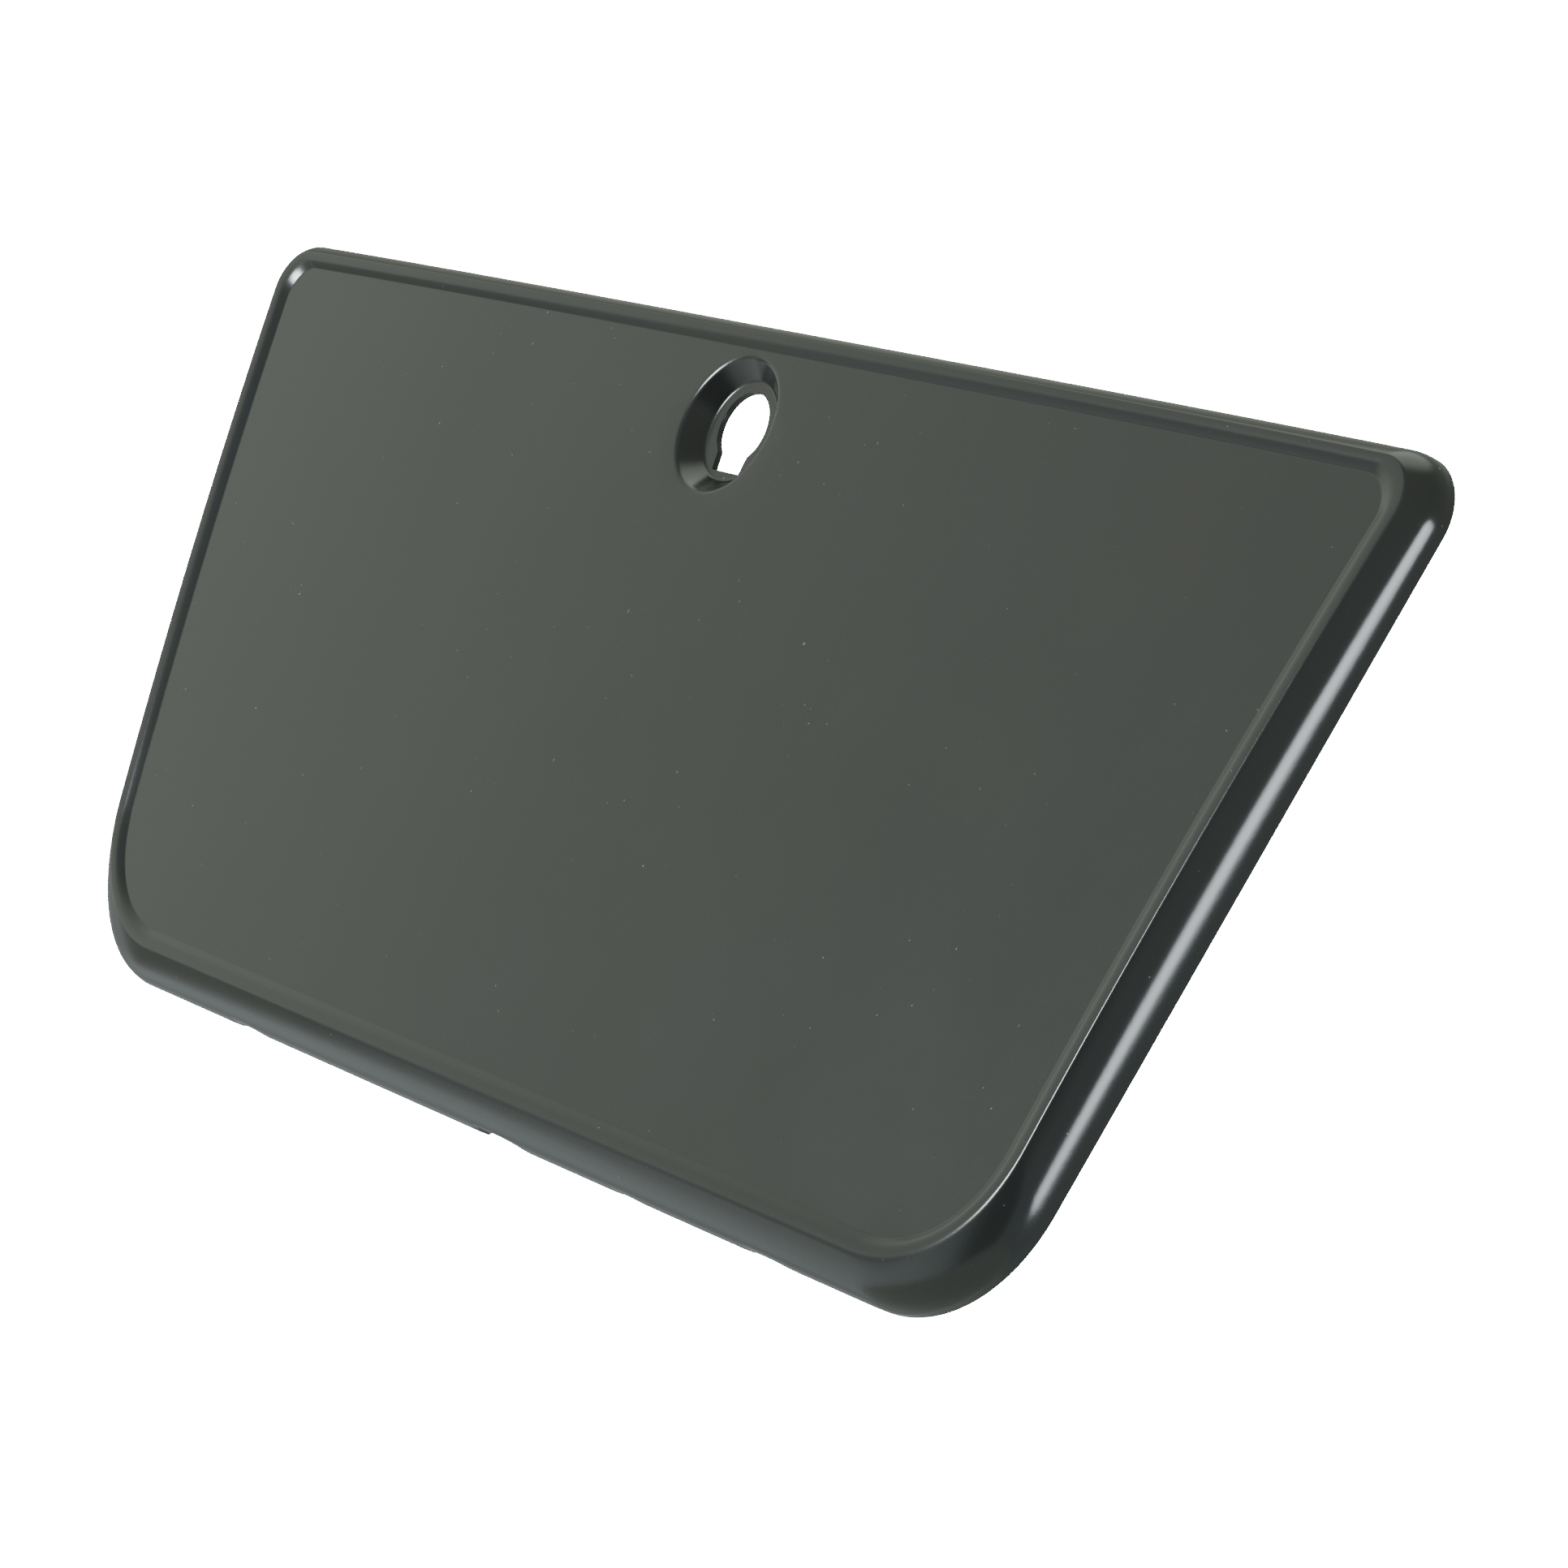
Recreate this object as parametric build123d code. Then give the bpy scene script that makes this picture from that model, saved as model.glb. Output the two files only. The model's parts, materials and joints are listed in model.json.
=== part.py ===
from build123d import *
import math
import os

# Pressed-steel compartment door: a thin outer panel with a raised rim, a recessed field and a dished
# lock hole, stiffened by an inner panel, with a lock plate, hinge plates, weld nuts and a strap bracket.
# +X is right and +Z up, seen from the front; the front faces -Y. The origin is the middle of the four
# hinge holes, on the inner panel's rear mounting face.

# Driving dimensions, millimetres
SKIN = 0.9                 # sheet thickness of the outer panel
INNER_SHEET = 0.8          # sheet thickness of the inner panel
PLATE = 1.6                # thickness of the hinge plates, lock plate and strap bracket

CREST_TOP = 450.0          # width of the rim's crest along the top
CREST_BOTTOM = 371.0       # width of the rim's crest along the bottom
CREST_HEIGHT = 186.0
EDGE_DEPTH = 9.4           # crest to rear edge at the corners
CROWN_X = 2.8              # how far the middle stands forward of the left and right ends
CROWN_Z = 2.1              # how far the middle stands forward of the top and bottom edges

SHOULDER = 3.5             # crest to the side wall, measured square to the edge
ROLL_R = 3.0               # convex roll from the crest into the wall
FLARE_SIDE = 5.5           # crest to rear edge, measured square to the edge
FLARE_TOP = 4.2
FLARE_BOTTOM = 8.3
FRONT_R_TOP = 12.0         # corner radii of the wall at the front and at the rear edge
FRONT_R_BOTTOM = 43.0
REAR_R_TOP = 13.0
REAR_R_BOTTOM = 41.0
LIP = 2.5                  # straight lip at the rear edge

RIM_BAND = 4.0             # from the crest in to the step down to the field
RECESS = 1.4               # depth of the field below the crest
FIELD_R_TOP = 8.0          # corner radii of the field
FIELD_R_BOTTOM = 34.0

LOCK_DROP = 22.5           # lock centre below the crest's top edge
DISH_R = 17.5              # radius of the lock dish at the field
DISH_FLOOR_R = 12.6        # radius of the dish's flat floor
DISH_DEPTH = 4.35
LOCK_HOLE_R = 8.8
HOLE_RISE = 0.9             # the hole's centre above the dish's centre
KEY_WIDTH = 10.8           # key slot at the bottom of the lock hole
KEY_DROP = 11.0            # the slot's lower end below the hole's centre
KEY_SHOULDER = (5.5, 6.8)  # where the slot's sides meet the hole: aside and below the centre

HINGE_RISE = 27.0          # hinge pattern's centre above the crest's bottom edge
HINGE_SPACING_X = 230.0
HINGE_SPACING_Z = 16.0
SCREW_R = 3.0              # M6
PAD_W = 54.0               # raised pad under each hinge leaf
PAD_H = 40.0
PAD_R = 5.0
HINGE_PLATE_W = 46.0
HINGE_PLATE_H = 32.0
HINGE_PLATE_R = 3.0
NUT_ACROSS = 10.0
NUT_HEIGHT = 4.0

WEB_SET_IN = 2.5           # inner panel's web, forward of the mounting face
INNER_BEND_R = 1.6
ACCESS_W = 78.0            # lock access opening in the inner panel
ACCESS_UP = 14.0           # opening above and below the lock's centre
ACCESS_DOWN = 30.0
ACCESS_R = 8.0
BEAD_W = 11.0
BEAD_DEPTH = 2.2
BEAD_TAPER = 30.0          # degrees
BEAD_ROWS = [(40.0, 300.0), (63.0, 320.0), (86.0, 340.0)]    # height above the origin, length
SIDE_BEAD = (128.0, 124.0, 118.0)                            # centre x, height, length
STOP_SPACING = 388.0       # holes for the rubber stops
STOP_R = 4.0
STOP_DROP = 14.0           # below the crest's top edge

LOCK_PLATE_UP = 17.0       # lock plate above and below the lock's centre
LOCK_PLATE_DOWN = 20.0
LOCK_PLATE_FLAT = 36.0     # flat middle, across
LOCK_PLATE_SPAN = 66.0     # over both feet
LOCK_PLATE_FOOT = 8.0
LOCK_PLATE_HOLE_R = 12.2   # clear of the lock hole, inside the dish floor
FOOT_GAP = 0.8             # the feet clear the crowned field

STRAP_X = -165.0
STRAP_Z = 22.0
STRAP_W = 14.0
STRAP_BASE = 16.0
STRAP_REACH = 13.0         # hole's axis to the web
STRAP_HOLE_R = 2.75

# Places worked out from the driving dimensions
Z_LOW = -HINGE_RISE
Z_HIGH = Z_LOW + CREST_HEIGHT
Z_MIDDLE = (Z_LOW + Z_HIGH) / 2
Z_LOCK = Z_HIGH - LOCK_DROP
Y_PEAK = -(EDGE_DEPTH + CROWN_X + CROWN_Z)                   # foremost point of the crest surface
RADIUS_X = (CREST_TOP / 2) ** 2 / (2 * CROWN_X)
RADIUS_Z = (CREST_HEIGHT / 2) ** 2 / (2 * CROWN_Z)
Y_WEB = -WEB_SET_IN
FAR = 60.0                                                   # clear of the part, for cutting tools


def front_y(x, z):
    """Depth of the crest surface at a point of the face."""
    drop_x = CROWN_X * (x / (CREST_TOP / 2)) ** 2
    drop_z = CROWN_Z * ((z - Z_MIDDLE) / (CREST_HEIGHT / 2)) ** 2
    return Y_PEAK + drop_x + drop_z


Y_LOCK_FIELD = front_y(0, Z_LOCK) + RECESS
Y_DISH_FLOOR = Y_LOCK_FIELD + DISH_DEPTH


def at_depth(y):
    """Sketch plane facing forward, with its x to the right and its y up."""
    return Plane(origin=(0, y, 0), x_dir=(1, 0, 0), z_dir=(0, -1, 0))


def trapezoid(top, bottom, side, r_top, r_bottom):
    """The crest's trapezoid with its edges moved outward and its corners rounded."""
    run = (CREST_TOP - CREST_BOTTOM) / 2
    side_x = side * math.hypot(run, CREST_HEIGHT) / CREST_HEIGHT
    z_high = Z_HIGH + top
    z_low = Z_LOW - bottom
    x_high = CREST_TOP / 2 + side_x + run * top / CREST_HEIGHT
    x_low = CREST_BOTTOM / 2 + side_x - run * bottom / CREST_HEIGHT
    face = make_face(Polyline((-x_high, z_high), (-x_low, z_low), (x_low, z_low), (x_high, z_high), close=True))
    face = fillet(face.vertices().group_by(Axis.Y)[-1], r_top)
    return fillet(face.vertices().group_by(Axis.Y)[0], r_bottom)


def rear_outline(inset):
    return trapezoid(FLARE_TOP - inset, FLARE_BOTTOM - inset, FLARE_SIDE - inset,
                     REAR_R_TOP - inset, REAR_R_BOTTOM - inset)


def front_outline(inset):
    grow = SHOULDER - inset
    return trapezoid(grow, grow, grow, FRONT_R_TOP - inset, FRONT_R_BOTTOM - inset)


def field_outline(grow):
    inward = grow - RIM_BAND
    return trapezoid(inward, inward, inward, FIELD_R_TOP + grow, FIELD_R_BOTTOM + grow)


def behind_crown(shift):
    """Everything behind the crowned front surface, moved rearward by shift."""
    y_peak = Y_PEAK + shift
    reach = CREST_HEIGHT
    edge_y = y_peak + RADIUS_Z - math.sqrt(RADIUS_Z ** 2 - reach ** 2)
    with BuildSketch(Plane.YZ) as profile:
        with BuildLine():
            ThreePointArc((edge_y, Z_MIDDLE - reach), (y_peak, Z_MIDDLE), (edge_y, Z_MIDDLE + reach))
            Polyline((edge_y, Z_MIDDLE + reach), (FAR, Z_MIDDLE + reach), (FAR, Z_MIDDLE - reach),
                     (edge_y, Z_MIDDLE - reach))
        make_face()
    half_angle = math.degrees(CREST_TOP / 2 + FAR) / RADIUS_X
    axis = Axis((0, y_peak + RADIUS_X, 0), (0, 0, 1))
    slab = revolve(profile.sketch, axis, 2 * half_angle)
    return slab.rotate(axis, -half_angle)


def shell_block(inset):
    """The panel as a solid block: rear lip, drafted wall, crowned front, rolled front edge."""
    lip = extrude(at_depth(0) * rear_outline(inset), LIP)
    y_far = Y_PEAK - SHOULDER
    wall = loft([(at_depth(-LIP) * rear_outline(inset)).face(), (at_depth(y_far) * front_outline(inset)).face()],
                ruled=True)
    block = (lip + wall) & behind_crown(inset)
    front = block.faces().sort_by(Axis.Y)[0]
    return fillet(front.edges(), ROLL_R - inset)


def press_field(block, shift):
    """Recess the field into a block's crowned front."""
    prism = extrude(at_depth(FAR) * field_outline(shift), 2 * FAR)
    return block - (prism - behind_crown(RECESS + shift))


def dish_plug(shift):
    """Tapered plug of the lock dish; shift moves its surface rearward and outward."""
    slope = (DISH_R - DISH_FLOOR_R) / DISH_DEPTH
    spread = shift * (math.hypot(1, slope) - slope)
    length = 2 * DISH_DEPTH
    cone = Cone(DISH_FLOOR_R + spread, DISH_FLOOR_R + spread + slope * length, length)
    return Pos(0, Y_DISH_FLOOR + shift - length / 2, Z_LOCK) * Rot(90, 0, 0) * cone


def keyed_hole():
    """Round hole with a tapered key slot at the bottom, cut through the dish."""
    aside, below = KEY_SHOULDER
    corner = KEY_WIDTH / 2
    slot = Polyline((-aside, -below), (-corner, -KEY_DROP), (corner, -KEY_DROP), (aside, -below), close=True)
    sketch = Circle(LOCK_HOLE_R) + make_face(slot)
    return Pos(0, 0, Z_LOCK + HOLE_RISE) * extrude(at_depth(Y_DISH_FLOOR + DISH_DEPTH) * sketch, 2 * DISH_DEPTH)


def outer_panel():
    outside = press_field(shell_block(0), 0) - dish_plug(0)
    inside = press_field(shell_block(SKIN), SKIN) - dish_plug(SKIN)
    return outside - inside - keyed_hole()


def slab(x, z, width, height, y_front, y_back, corner_r=0.0):
    """Plate facing forward, centred on x and z."""
    sketch = RectangleRounded(width, height, corner_r) if corner_r else Rectangle(width, height)
    return Pos(x, 0, z) * extrude(at_depth(y_back) * sketch, y_back - y_front)


def bead(x, z, length, shift):
    """Pressed stiffening bead, standing forward of the web; shift gives its hollow side."""
    y_base = Y_WEB - INNER_SHEET + shift
    width = BEAD_W - 2 * shift
    return Pos(x, 0, z) * extrude(at_depth(y_base) * SlotOverall(length - 2 * shift, width), BEAD_DEPTH,
                                  taper=BEAD_TAPER)


def bead_places():
    rows = [(0, z, length) for z, length in BEAD_ROWS]
    x, z, length = SIDE_BEAD
    return rows + [(-x, z, length), (x, z, length)]


def hinge_sides():
    return [("left", -HINGE_SPACING_X / 2), ("right", HINGE_SPACING_X / 2)]


def screw_axes(x):
    return [(x, -HINGE_SPACING_Z / 2), (x, HINGE_SPACING_Z / 2)]


def round_cut(x, z, radius):
    """Round cutter along Y through the rear of the part."""
    return Pos(x, 0, z) * extrude(at_depth(FAR) * Circle(radius), 2 * FAR)


def inner_pan(inset, y_front, bend_r):
    """Tray that nests in the outer panel's rear lip."""
    block = extrude(at_depth(0) * rear_outline(inset), -y_front)
    return fillet(block.faces().sort_by(Axis.Y)[0].edges(), bend_r)


def inner_panel():
    panel = inner_pan(SKIN, Y_WEB - INNER_SHEET, INNER_BEND_R)
    panel -= inner_pan(SKIN + INNER_SHEET, Y_WEB, INNER_BEND_R - INNER_SHEET)
    for x, z, length in bead_places():
        panel += bead(x, z, length, 0)
        panel -= bead(x, z, length, INNER_SHEET)
    for _, x in hinge_sides():
        panel += slab(x, 0, PAD_W, PAD_H, Y_WEB - INNER_SHEET, 0, PAD_R)
        panel -= slab(x, 0, PAD_W - 2 * INNER_SHEET, PAD_H - 2 * INNER_SHEET, Y_WEB - 2 * INNER_SHEET,
                      -INNER_SHEET, PAD_R - INNER_SHEET)
        for screw_x, screw_z in screw_axes(x):
            panel -= round_cut(screw_x, screw_z, SCREW_R)
    for x in (-STOP_SPACING / 2, STOP_SPACING / 2):
        panel -= round_cut(x, Z_HIGH - STOP_DROP, STOP_R)
    access_z = Z_LOCK + (ACCESS_UP - ACCESS_DOWN) / 2
    return panel - slab(0, access_z, ACCESS_W, ACCESS_UP + ACCESS_DOWN, -FAR, FAR, ACCESS_R)


def lock_reinforcement():
    """Hat-section plate: a flat middle behind the dish and two feet on the back of the field."""
    y_flat = Y_DISH_FLOOR + SKIN
    y_foot = Y_LOCK_FIELD + SKIN + FOOT_GAP
    x_foot = LOCK_PLATE_SPAN / 2
    x_leg = x_foot - LOCK_PLATE_FOOT
    x_flat = LOCK_PLATE_FLAT / 2
    front = [(-x_foot, y_foot), (-x_leg, y_foot), (-x_flat, y_flat), (x_flat, y_flat), (x_leg, y_foot),
             (x_foot, y_foot)]
    back = [(x, y + PLATE) for x, y in reversed(front)]
    profile = make_face(Polyline(*front, *back, close=True))
    plate = Pos(0, 0, Z_LOCK - LOCK_PLATE_DOWN) * extrude(profile, LOCK_PLATE_UP + LOCK_PLATE_DOWN)
    clearance = Pos(0, y_flat, Z_LOCK) * Rot(90, 0, 0) * Cylinder(LOCK_PLATE_HOLE_R, 4 * PLATE)
    return plate - clearance


def hinge_plate(x):
    plate = slab(x, 0, HINGE_PLATE_W, HINGE_PLATE_H, -INNER_SHEET - PLATE, -INNER_SHEET, HINGE_PLATE_R)
    for screw_x, screw_z in screw_axes(x):
        plate -= round_cut(screw_x, screw_z, SCREW_R)
    return plate


def hinge_nuts(x):
    """Two weld nuts on the front of a hinge plate."""
    nuts = []
    for screw_x, screw_z in screw_axes(x):
        hexagon = RegularPolygon(NUT_ACROSS / 2, 6, major_radius=False) - Circle(SCREW_R)
        nuts.append(Pos(screw_x, 0, screw_z) * extrude(at_depth(-INNER_SHEET - PLATE) * hexagon, NUT_HEIGHT))
    return Compound(children=nuts)


def strap_bracket():
    """Angle bracket on the web's rear face, with an ear standing rearward for the check strap."""
    base = slab(STRAP_X, STRAP_Z, STRAP_BASE, STRAP_W, Y_WEB, Y_WEB + PLATE)
    ear_plane = Plane(origin=(STRAP_X - STRAP_BASE / 2, 0, STRAP_Z), x_dir=(0, 1, 0), z_dir=(1, 0, 0))
    y_hole = Y_WEB + STRAP_REACH
    ear = Pos((Y_WEB + y_hole) / 2, 0) * Rectangle(STRAP_REACH, STRAP_W) + Pos(y_hole, 0) * Circle(STRAP_W / 2)
    ear -= Pos(y_hole, 0) * Circle(STRAP_HOLE_R)
    return base + extrude(ear_plane * ear, PLATE)


def build_parts():
    parts = {
        "outer_panel": outer_panel(),
        "inner_panel": inner_panel(),
        "lock_reinforcement": lock_reinforcement(),
        "strap_bracket": strap_bracket(),
    }
    for side, x in hinge_sides():
        parts["hinge_plate_" + side] = hinge_plate(x)
        parts["hinge_nuts_" + side] = hinge_nuts(x)
    return parts


os.makedirs("parts", exist_ok=True)
for name, shape in build_parts().items():
    export_step(shape, f"parts/{name}.step")
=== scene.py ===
import json
import math

import bpy
import numpy as np
from mathutils import Matrix, Vector


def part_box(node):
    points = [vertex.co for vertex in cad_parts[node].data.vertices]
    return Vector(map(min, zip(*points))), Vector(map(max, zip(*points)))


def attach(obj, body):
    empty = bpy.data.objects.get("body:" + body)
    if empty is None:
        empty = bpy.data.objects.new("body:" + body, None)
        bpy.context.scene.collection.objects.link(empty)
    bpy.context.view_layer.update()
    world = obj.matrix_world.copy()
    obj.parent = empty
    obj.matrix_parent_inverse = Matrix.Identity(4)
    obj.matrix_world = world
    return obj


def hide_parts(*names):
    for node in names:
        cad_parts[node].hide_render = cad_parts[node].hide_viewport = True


# Pressed-steel compartment door in black electro-coat. The CAD frame gives every place and outer size;
# the outer panel is rebuilt here as one smooth pressed sheet. Lengths below are in metres.

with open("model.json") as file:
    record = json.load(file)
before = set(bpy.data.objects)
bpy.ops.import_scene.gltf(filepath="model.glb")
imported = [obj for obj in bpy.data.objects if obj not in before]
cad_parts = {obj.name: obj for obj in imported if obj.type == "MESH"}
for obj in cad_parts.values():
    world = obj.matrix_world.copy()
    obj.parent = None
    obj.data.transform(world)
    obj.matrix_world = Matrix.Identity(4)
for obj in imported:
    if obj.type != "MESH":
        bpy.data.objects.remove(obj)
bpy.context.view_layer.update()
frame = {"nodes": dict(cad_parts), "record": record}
mounts = {mount["name"]: mount for mount in frame["record"]["mounts"]}
panel_low, panel_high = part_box("outer_panel")

MM = 0.001
SHEET = 0.9 * MM

# Rear edge, from the frame
Z_REAR_TOP = panel_high.z - 0.5 * MM
Z_REAR_BOTTOM = panel_low.z
Y_REAR = panel_high.y

# Crest of the rim
CREST_TOP = 450.0 * MM         # width along the top
CREST_BOTTOM = 371.0 * MM      # width along the bottom
FLARE_TOP = 3.7 * MM           # crest to rear edge, square to the edge
FLARE_BOTTOM = 9.3 * MM
FLARE_SIDE = 5.5 * MM
CREST_R_TOP = 9.2 * MM
CREST_R_BOTTOM = 41.4 * MM
REAR_R_TOP = 13.0 * MM
REAR_R_BOTTOM = 39.0 * MM
EDGE_DEPTH = 9.38 * MM         # crest to rear edge at the corners
CROWN_X = 2.8 * MM             # the middle stands forward of the ends
CROWN_Z = 2.1 * MM
LIP = 2.5 * MM                 # straight lip at the rear edge
TOP_FALL = 0.5 * MM            # how far the top edge drops at its ends

# Recessed field and the sloped band round it
BAND_SIDE = 5.1 * MM
BAND_TOP = 3.8 * MM
BAND_BOTTOM = 4.1 * MM
RECESS = 1.4 * MM
BAND_START = 1.09              # where the field ends, in band widths from the crest
FIELD_BEND = 0.05              # half width of the bend at the field's edge, in band widths
FIELD_R_TOP = 8.0 * MM
FIELD_R_BOTTOM = 33.4 * MM

# Lock dish
DISH_R = 17.0 * MM
DISH_FLOOR_R = 12.4 * MM
DISH_DEPTH = 4.8 * MM
DISH_LIP_R = 2.4 * MM
DISH_FLOOR_FILLET = 1.6 * MM
HOLE_EDGE = 1.15 * MM          # depth of the hole's burred edge
HOLE_R = mounts["lock_hole"]["dims"]["r_mm"] * MM
HOLE_Z = mounts["lock_hole"]["pos_m"][2]
HOLE_RISE = 0.9 * MM           # the hole's centre above the dish's centre
DISH_Z = HOLE_Z - HOLE_RISE
KEY_START = math.radians(-30)  # where the round edge ends
KEY_SHOULDER = np.array([5.75, -5.7]) * MM     # top of the slot's side, from the dish's centre
KEY_CORNER = np.array([5.2, -10.07]) * MM      # lower corner of the slot, from the dish's centre

Z_TOP = Z_REAR_TOP - FLARE_TOP
Z_BOTTOM = Z_REAR_BOTTOM + FLARE_BOTTOM
Z_MIDDLE = (Z_TOP + Z_BOTTOM) / 2
HALF_HEIGHT = (Z_TOP - Z_BOTTOM) / 2
HALF_TOP = CREST_TOP / 2
HALF_BOTTOM = CREST_BOTTOM / 2


# ---------------------------------------------------------------- outline of the panel

def crest_y(x, z):
    """Depth of the crowned front surface."""
    bow = CROWN_X * (1 - (x / HALF_TOP) ** 2) + CROWN_Z * (1 - ((z - Z_MIDDLE) / HALF_HEIGHT) ** 2)
    return Y_REAR - EDGE_DEPTH - bow


def corner_points(top, bottom, side):
    """Right-hand corners of the crest's trapezoid with its edges moved outward."""
    run = HALF_TOP - HALF_BOTTOM
    height = 2 * HALF_HEIGHT
    side_x = side * math.hypot(run, height) / height
    upper = np.array([HALF_TOP + side_x + run * top / height, Z_TOP + top])
    lower = np.array([HALF_BOTTOM + side_x - run * bottom / height, Z_BOTTOM - bottom])
    return upper, lower


def arc(before, corner, after, radius, count):
    """Points on a rounded corner, from its first tangent point to its second."""
    u = (before - corner) / np.linalg.norm(before - corner)
    w = (after - corner) / np.linalg.norm(after - corner)
    half = math.acos(float(np.clip(u @ w, -1, 1))) / 2
    centre = corner + (u + w) / np.linalg.norm(u + w) * radius / math.sin(half)
    start = corner + u * radius / math.tan(half) - centre
    end = corner + w * radius / math.tan(half) - centre
    a0 = math.atan2(start[1], start[0])
    turn = (math.atan2(end[1], end[0]) - a0 + math.pi) % (2 * math.pi) - math.pi
    angles = a0 + turn * np.linspace(0, 1, count)
    return centre + radius * np.stack([np.cos(angles), np.sin(angles)], 1)


def outline(top, bottom, side, r_top, r_bottom):
    """Rounded trapezoid as (x, z) columns, clockwise from the top middle. Every outline has the same
    number of columns on each stretch, so columns of different outlines belong together."""
    upper, lower = corner_points(top, bottom, side)
    mirror = np.array([-1, 1])
    top_arc = arc(upper * mirror, upper, lower, r_top, 22)
    low_arc = arc(upper, lower, lower * mirror, r_bottom, 34)
    spread = np.sinh(3.9 * np.linspace(0, 1, 64)[:-1]) / math.sinh(3.9)
    top_run = np.stack([spread * top_arc[0][0], np.full(63, top_arc[0][1])], 1)
    side_run = top_arc[-1] + (low_arc[0] - top_arc[-1]) * np.linspace(0, 1, 60)[1:-1, None]
    low_run = low_arc[-1] * np.stack([np.linspace(1, 0, 110), np.ones(110)], 1)[1:]
    right = np.concatenate([top_run, top_arc, side_run, low_arc, low_run])
    left = right[1:-1][::-1] * mirror
    return np.concatenate([right, left])


def keyed_radius(angle):
    """Distance from the dish's centre to the lock hole's edge; the square key slot is at the bottom."""
    turn = np.linspace(math.pi / 2, KEY_START, 80)
    edge = np.column_stack([HOLE_R * np.cos(turn), HOLE_RISE + HOLE_R * np.sin(turn)])
    foot = np.array([0.0, KEY_CORNER[1]])
    for a, b in ((edge[-1], KEY_SHOULDER), (KEY_SHOULDER, KEY_CORNER), (KEY_CORNER, foot)):
        edge = np.concatenate([edge, a + (b - a) * np.linspace(0, 1, 40)[1:, None]])
    edge = edge[::-1]
    fold = np.arctan2(np.sin(angle), np.abs(np.cos(angle)))
    return np.interp(fold, np.arctan2(edge[:, 1], edge[:, 0]), np.hypot(edge[:, 0], edge[:, 1]))


# ---------------------------------------------------------------- pressed sheet

def rounded_profile(points, radii, steps=7):
    """Polyline of (across, depth) points with its inner corners rounded."""
    path = [np.array(points[0])]
    for before, corner, after, radius in zip(points, points[1:], points[2:], radii):
        path.extend(arc(np.array(before), np.array(corner), np.array(after), radius, steps))
    path.append(np.array(points[-1]))
    return np.array(path)


def dish_rows(centre, angle):
    """Rows of the lock dish, from the hole's edge out to the field."""
    unit = np.stack([np.cos(angle), np.sin(angle)], 1)
    edge = keyed_radius(angle)
    floor_y = crest_y(0, DISH_Z) + RECESS + DISH_DEPTH
    rows = []
    for grow, drop in ((0.0, 0.35), (0.03, 0.12), (0.14, 0.02), (0.3, 0.0)):
        flat = centre + unit * (edge + grow * MM)[:, None]
        rows.append(np.column_stack([flat[:, 0], np.full(len(angle), floor_y + drop * MM), flat[:, 1]]))
    section = [(DISH_FLOOR_R - 2.0 * MM, DISH_DEPTH), (DISH_FLOOR_R, DISH_DEPTH), (DISH_R, 0),
               (DISH_R + 1.2 * MM, 0)]
    profile = rounded_profile(section, [DISH_FLOOR_FILLET, DISH_LIP_R])
    for radius, depth in profile[1:-1]:
        across = np.full(len(angle), radius)
        if depth > 0.9 * DISH_DEPTH:
            across = np.maximum(across, edge + 0.35 * MM)
        flat = centre + unit * across[:, None]
        share = depth / DISH_DEPTH
        field = crest_y(flat[:, 0], flat[:, 1]) + RECESS
        rows.append(np.column_stack([flat[:, 0], field + (floor_y - field) * share, flat[:, 1]]))
    return rows


def band_offset(inset):
    """Outline between the crest (inset 0) and the field's edge (inset 1), and past either."""
    r_top = CREST_R_TOP + (FIELD_R_TOP - CREST_R_TOP) * inset
    r_bottom = CREST_R_BOTTOM + (FIELD_R_BOTTOM - CREST_R_BOTTOM) * inset
    return outline(-BAND_TOP * inset, -BAND_BOTTOM * inset, -BAND_SIDE * inset, r_top, r_bottom)


def field_rows(start, end):
    """Rows of the field between the dish and the band."""
    rows = []
    for share in np.linspace(0, 1, 30)[1:-1]:
        flat = start + (end - start) * share
        rows.append(np.column_stack([flat[:, 0], crest_y(flat[:, 0], flat[:, 1]) + RECESS, flat[:, 1]]))
    return rows


# Tilt of the band from the front, in degrees, against its share of the way from the crest to the field
BAND_SHARE = (0.0, 0.15, 0.35, 0.60, 1.0)
BAND_TILT = (0.0, 4.0, 9.0, 22.0, 26.0)

# Tilt of the wall from the front, in degrees, against its share of the way from the crest to the crease
WALL_SHARE = (0.0, 0.05, 0.09, 0.42, 0.60, 0.80, 1.0)
WALL_TILT = (0.0, 26.0, 38.0, 51.0, 63.0, 77.0, 83.0)


def band_profile():
    """(inset, depth) pairs from the field, over a small bend and up the rolled band to the crest."""
    share = np.linspace(0, 1, 41)
    slope = np.tan(np.radians(np.interp(share, BAND_SHARE, BAND_TILT)))
    depth = np.concatenate([[0], np.cumsum((slope[1:] + slope[:-1]) / 2)])
    depth *= RECESS / depth[-1]
    foot = 1 - FIELD_BEND
    rise = RECESS - np.interp(foot, share, depth)
    bend = [(1 + FIELD_BEND * (1 - 2 * part), RECESS - rise * part ** 2) for part in np.linspace(0, 1, 7)]
    return bend + [(share[k], depth[k]) for k in range(36, -1, -3)]


def wall_profile():
    """(across, depth) shares of the wall: a crisp crest, a slack slope, a tight roll and a steep end."""
    tilt = np.radians(np.interp(np.linspace(0, 1, 241), WALL_SHARE, WALL_TILT))
    across = np.concatenate([[0], np.cumsum(np.cos(tilt))])
    depth = np.concatenate([[0], np.cumsum(np.sin(tilt))])
    chosen = np.concatenate([np.arange(3, 30, 3), np.arange(36, 216, 9), [216, 241]])
    return list(zip(across[chosen] / across[-1], depth[chosen] / depth[-1]))


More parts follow.
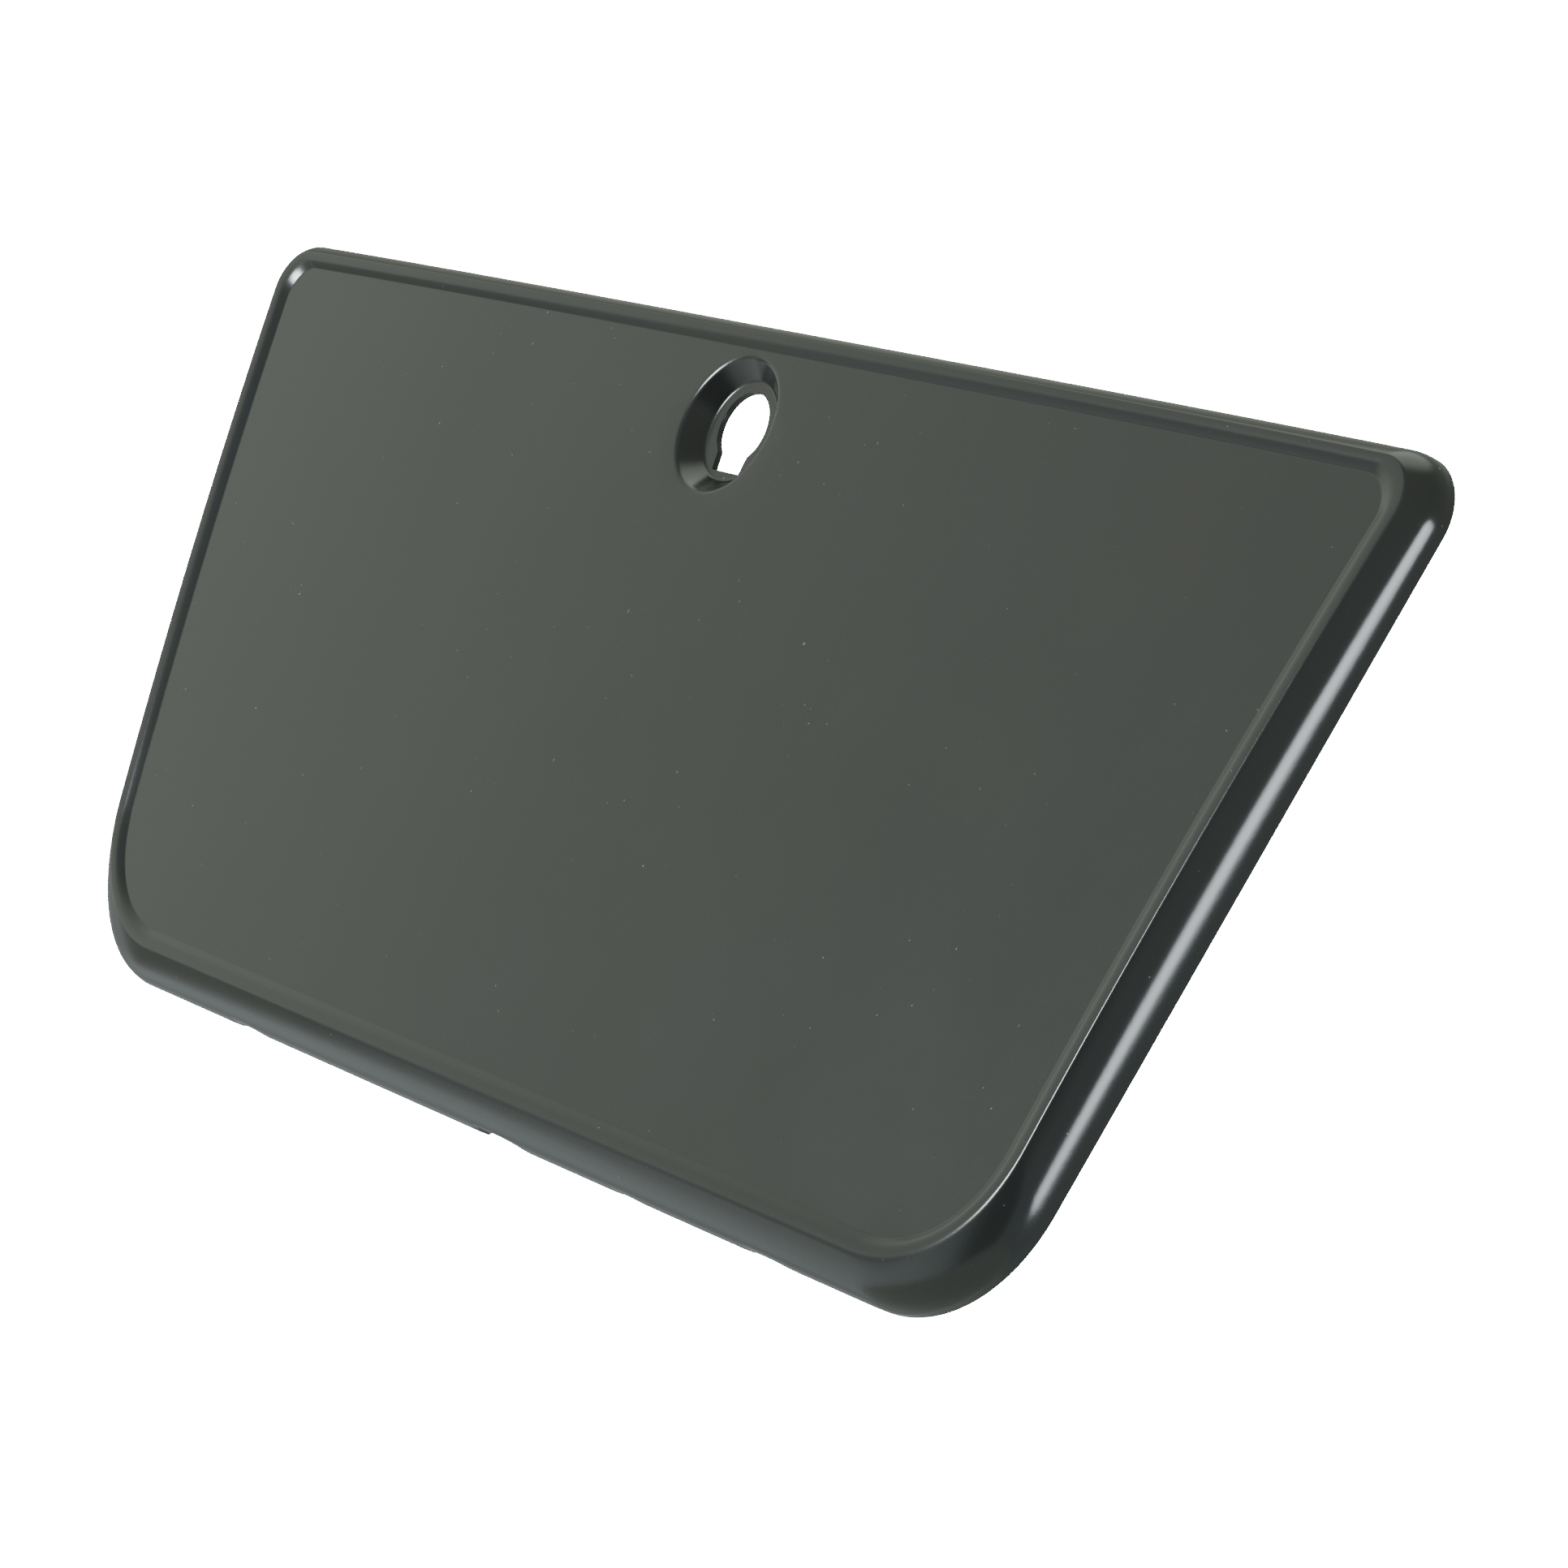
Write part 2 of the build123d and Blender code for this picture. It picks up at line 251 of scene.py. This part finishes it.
def sheet_rows():
    """Front surface of the pressed sheet, row by row from the lock hole to the rear edge."""
    centre = np.array([0.0, DISH_Z])
    inner_edge = band_offset(BAND_START)
    angle = np.arctan2(inner_edge[:, 1] - centre[1], inner_edge[:, 0] - centre[0])
    rows = dish_rows(centre, angle)
    rows += field_rows(rows[-1][:, [0, 2]], inner_edge)
    for inset, depth in [(BAND_START, RECESS)] + band_profile():
        flat = band_offset(inset)
        rows.append(np.column_stack([flat[:, 0], crest_y(flat[:, 0], flat[:, 1]) + depth, flat[:, 1]]))
    crest = band_offset(0.0)
    rear = outline(FLARE_TOP, FLARE_BOTTOM, FLARE_SIDE, REAR_R_TOP, REAR_R_BOTTOM)
    crest_depth = crest_y(crest[:, 0], crest[:, 1])
    for across, depth in wall_profile():
        flat = crest + (rear - crest) * across
        y = crest_depth + (Y_REAR - LIP - crest_depth) * depth
        rows.append(np.column_stack([flat[:, 0], y, flat[:, 1]]))
    for share in (0.12, 0.5, 0.9, 1.0):
        rows.append(np.column_stack([rear[:, 0], np.full(len(rear), Y_REAR - LIP * (1 - share)), rear[:, 1]]))
    return barrel(np.array(rows))


def barrel(grid):
    """Bows the top edge a little: it drops toward both ends."""
    aside = np.abs(grid[:, :, 0]) / HALF_TOP
    upper = np.clip((grid[:, :, 2] - Z_MIDDLE) / HALF_HEIGHT, 0, 1)
    grid[:, :, 2] -= TOP_FALL * aside ** 4 * upper ** 2
    return grid


def surface_normals(grid):
    """Unit normals of a closed-column grid, pointing out of the front surface."""
    along = np.roll(grid, -1, axis=1) - np.roll(grid, 1, axis=1)
    down = np.gradient(grid, axis=0)
    normals = np.cross(along, down)
    return normals / np.maximum(np.linalg.norm(normals, axis=2, keepdims=True), 1e-12)


def press_dimples(grid):
    """Shallow pressed pockets in the bottom lip."""
    x = grid[:, :, 0]
    y = grid[:, :, 1]
    z = grid[:, :, 2]
    low = np.clip((Z_BOTTOM - 1.0 * MM - z) / (5.0 * MM), 0, 1)
    back = np.clip((y - (Y_REAR - 6.0 * MM)) / (4.0 * MM), 0, 1)
    place = low * back
    for centre, half, steep, depth in DIMPLES:
        left = np.clip((x - (centre - half)) / steep, 0, 1)
        right = np.clip((centre + half - x) / (half * 1.2), 0, 1)
        press = depth * left * left * (3 - 2 * left) * right * right * (3 - 2 * right)
        grid[:, :, 2] += press * place
    return grid


# centre, half length, length of the steep end and depth of each pocket
DIMPLES = [
    (-104.0 * MM, 9.0 * MM, 2.5 * MM, 0.5 * MM),
    (14.0 * MM, 11.0 * MM, 1.2 * MM, 1.0 * MM),
    (66.0 * MM, 7.0 * MM, 2.0 * MM, 0.25 * MM),
    (120.0 * MM, 10.0 * MM, 2.5 * MM, 0.35 * MM),
]


def build_sheet():
    """Closed mesh of the outer panel: front grid, back grid one sheet thickness behind, and their edges."""
    front = press_dimples(sheet_rows())
    normals = surface_normals(front)
    back = front - normals * SHEET
    back[0] = front[0] + np.array([0, HOLE_EDGE, 0])
    back[:, :, 1] = np.minimum(back[:, :, 1], Y_REAR)
    rows, columns = front.shape[:2]
    verts = np.concatenate([front.reshape(-1, 3), back.reshape(-1, 3)])
    index = np.arange(rows * columns).reshape(rows, columns)
    a = index[:-1]
    b = np.roll(index, -1, axis=1)[:-1]
    c = np.roll(index, -1, axis=1)[1:]
    d = index[1:]
    quads = np.stack([a, b, c, d], 2).reshape(-1, 4)
    behind = rows * columns
    back_quads = quads[:, ::-1] + behind
    first, last = index[0], index[-1]
    first_next, last_next = np.roll(first, -1), np.roll(last, -1)
    hole = np.stack([first, first + behind, first_next + behind, first_next], 1)
    edge = np.stack([last, last_next, last_next + behind, last + behind], 1)
    mesh = bpy.data.meshes.new("outer_skin")
    mesh.from_pydata(verts.tolist(), [], np.concatenate([quads, back_quads, hole, edge]).tolist())
    mesh.update()
    mesh.shade_smooth()
    mesh.set_sharp_from_angle(angle=math.radians(32))
    skin = bpy.data.objects.new("outer_skin", mesh)
    bpy.context.collection.objects.link(skin)
    return skin


# ---------------------------------------------------------------- materials

def new_material(name):
    material = bpy.data.materials.new(name)
    material.use_nodes = True
    tree = material.node_tree
    return material, tree, tree.nodes["Principled BSDF"]


def noise(tree, scale, detail=2.0, roughness=0.5):
    node = tree.nodes.new("ShaderNodeTexNoise")
    node.inputs["Scale"].default_value = scale
    node.inputs["Detail"].default_value = detail
    node.inputs["Roughness"].default_value = roughness
    coords = tree.nodes.get("Place") or tree.nodes.new("ShaderNodeTexCoord")
    coords.name = "Place"
    tree.links.new(coords.outputs["Object"], node.inputs["Vector"])
    return node.outputs["Fac"]


def remap(tree, value, low, high, out_low, out_high):
    node = tree.nodes.new("ShaderNodeMapRange")
    node.inputs["From Min"].default_value = low
    node.inputs["From Max"].default_value = high
    node.inputs["To Min"].default_value = out_low
    node.inputs["To Max"].default_value = out_high
    tree.links.new(value, node.inputs["Value"])
    return node.outputs["Result"]


def mix_colour(tree, share, first, second):
    node = tree.nodes.new("ShaderNodeMix")
    node.data_type = "RGBA"
    colours = [socket for socket in node.inputs if socket.type == "RGBA"]
    tree.links.new(share, node.inputs[0])
    for socket, value in zip(colours, (first, second)):
        if isinstance(value, tuple):
            socket.default_value = (*value, 1)
        else:
            tree.links.new(value, socket)
    return next(socket for socket in node.outputs if socket.type == "RGBA")


def bump(tree, height, distance, normal=None):
    node = tree.nodes.new("ShaderNodeBump")
    node.inputs["Strength"].default_value = 1.0
    node.inputs["Distance"].default_value = distance
    tree.links.new(height, node.inputs["Height"])
    if normal is not None:
        tree.links.new(normal, node.inputs["Normal"])
    return node.outputs["Normal"]


def electro_coat():
    """Semi-gloss black electro-coat: faint warm and cool drift, orange peel, dust and rub marks."""
    material, tree, shader = new_material("electro_coat")
    drift = remap(tree, noise(tree, 9.0, 3.0), 0.35, 0.65, 0.0, 1.0)
    base = mix_colour(tree, drift, (0.0165, 0.0172, 0.0150), (0.0150, 0.0165, 0.0160))
    dust = remap(tree, noise(tree, 900.0, 1.0), 0.80, 0.84, 0.0, 1.0)
    base = mix_colour(tree, dust, base, (0.20, 0.20, 0.19))
    tree.links.new(base, shader.inputs["Base Color"])
    smudge = remap(tree, noise(tree, 22.0, 5.0, 0.6), 0.3, 0.7, 0.15, 0.19)
    tree.links.new(smudge, shader.inputs["Roughness"])
    shader.inputs["IOR"].default_value = 1.52
    peel = bump(tree, noise(tree, 420.0, 2.0), 0.000012)
    waves = bump(tree, noise(tree, 14.0, 1.0), 0.00010, peel)
    tree.links.new(waves, shader.inputs["Normal"])
    return material


def dull_zinc():
    """Zinc-plated weld nuts: grey with a faint yellow drift and a matt spangle."""
    material, tree, shader = new_material("dull_zinc")
    drift = remap(tree, noise(tree, 120.0, 4.0), 0.3, 0.7, 0.0, 1.0)
    base = mix_colour(tree, drift, (0.40, 0.40, 0.41), (0.50, 0.47, 0.40))
    tree.links.new(base, shader.inputs["Base Color"])
    shader.inputs["Metallic"].default_value = 1.0
    tree.links.new(remap(tree, noise(tree, 500.0, 3.0), 0.3, 0.7, 0.36, 0.5), shader.inputs["Roughness"])
    return material


def dress(obj, material):
    obj.data.materials.clear()
    obj.data.materials.append(material)


# ---------------------------------------------------------------- studio

def make_camera():
    """Viewpoint to the right of the door and a little below it, rolled."""
    target = Vector((23.5, 25.1, 64.7)) * MM
    azimuth, elevation, roll = math.radians(53.49), math.radians(-3.56), math.radians(22.07)
    distance = 1168.6 * MM
    back = Vector((math.sin(azimuth) * math.cos(elevation), -math.cos(azimuth) * math.cos(elevation),
                   math.sin(elevation)))
    level = (-back).to_track_quat("-Z", "Y").to_matrix()
    turn = level @ Matrix.Rotation(roll, 3, "Z")
    data = bpy.data.cameras.new("camera")
    data.lens = 116.75
    data.sensor_width = 36.0
    data.clip_start = 0.01
    camera = bpy.data.objects.new("camera", data)
    bpy.context.collection.objects.link(camera)
    camera.matrix_world = Matrix.Translation(target + back * distance) @ turn.to_4x4()
    bpy.context.scene.camera = camera
    return camera


def make_floor():
    bpy.ops.mesh.primitive_circle_add(vertices=96, radius=1.2, fill_type="NGON", location=(0, 0, -1.2))
    floor = bpy.context.object
    floor.name = "studio_floor"
    material, tree, shader = new_material("pale_floor")
    shader.inputs["Base Color"].default_value = (0.85, 0.85, 0.84, 1)
    shader.inputs["Roughness"].default_value = 0.8
    floor.data.materials.append(material)


def heading(azimuth, elevation):
    """Unit direction: azimuth in degrees from the front toward +X, elevation in degrees."""
    around, up = math.radians(azimuth), math.radians(elevation)
    return Vector((math.sin(around) * math.cos(up), -math.cos(around) * math.cos(up), math.sin(up)))


def sky_patch(tree, azimuth, elevation, inner, outer):
    """1 within the inner angle of a direction, easing to 0 at the outer angle."""
    dot = tree.nodes.new("ShaderNodeVectorMath")
    dot.operation = "DOT_PRODUCT"
    tree.links.new(tree.nodes["Sky"].outputs["Generated"], dot.inputs[0])
    dot.inputs[1].default_value = heading(azimuth, elevation)
    node = tree.nodes.new("ShaderNodeMapRange")
    node.interpolation_type = "SMOOTHSTEP"
    node.inputs["From Min"].default_value = math.cos(math.radians(outer))
    node.inputs["From Max"].default_value = math.cos(math.radians(inner))
    tree.links.new(dot.outputs["Value"], node.inputs["Value"])
    return node.outputs["Result"]


def make_sky():
    """White studio behind the door. The door reflects a soft room: bright left, dark low in front."""
    world = bpy.data.worlds.new("studio")
    bpy.context.scene.world = world
    world.use_nodes = True
    tree = world.node_tree
    tree.nodes.clear()
    coords = tree.nodes.new("ShaderNodeTexCoord")
    coords.name = "Sky"
    split = tree.nodes.new("ShaderNodeSeparateXYZ")
    tree.links.new(coords.outputs["Generated"], split.inputs[0])
    height = remap(tree, split.outputs["Z"], -0.6, 0.3, 0.0, 1.0)
    room = mix_colour(tree, height, ROOM_LOW, ROOM_HIGH)
    for patch in SKY_PATCHES:
        *where, colour = patch
        room = mix_colour(tree, sky_patch(tree, *where), room, colour)
    dim = tree.nodes.new("ShaderNodeBackground")
    tree.links.new(room, dim.inputs["Color"])
    white = tree.nodes.new("ShaderNodeBackground")
    white.inputs["Strength"].default_value = 40.0
    path = tree.nodes.new("ShaderNodeLightPath")
    choose = tree.nodes.new("ShaderNodeMixShader")
    tree.links.new(path.outputs["Is Camera Ray"], choose.inputs[0])
    tree.links.new(dim.outputs[0], choose.inputs[1])
    tree.links.new(white.outputs[0], choose.inputs[2])
    out = tree.nodes.new("ShaderNodeOutputWorld")
    tree.links.new(choose.outputs[0], out.inputs["Surface"])


# Room brightness below and above, then patches: azimuth, elevation, inner and outer angle, colour
ROOM_LOW = (0.42, 0.48, 0.49)
ROOM_HIGH = (0.40, 0.45, 0.39)
SKY_PATCHES = [
    (-60, -43, 16, 42, (1.00, 1.10, 1.10)),    # pale cove, low on the left
    (-56, 8, 20, 42, (0.95, 1.03, 0.91)),      # large screen on the left
    (-73, -21, 4, 14, (0.36, 0.38, 0.34)),     # dark gap between the screen and the cove
    (-50, -21, 3, 15, (0.58, 0.63, 0.62)),     # paler end of the gap
    (-12, 8, 8, 34, (0.50, 0.58, 0.58)),       # front of the room
    (15, -30, 8, 30, (0.08, 0.10, 0.10)),      # dark side of the room, below the camera
    (-100, 30, 5, 20, (0.30, 0.32, 0.27)),     # dark gap above the screen
    (-75, 66, 10, 34, (1.90, 2.05, 1.85)),     # ceiling light
    (95, -12, 0, 18, (17.0, 18.0, 19.0)),      # lamp on the right
    (-27, -7, 0, 9, (66.0, 70.0, 73.0)),      # lamp in front on the left
]


# ---------------------------------------------------------------- assembly

coat = electro_coat()
zinc = dull_zinc()

skin = build_sheet()
dress(skin, coat)
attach(skin, "root")
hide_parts("outer_panel")

for name, node in frame["nodes"].items():
    if name.startswith("hinge_nuts"):
        dress(node, zinc)
    elif name != "outer_panel":
        dress(node, coat)

make_camera()
make_floor()
make_sky()
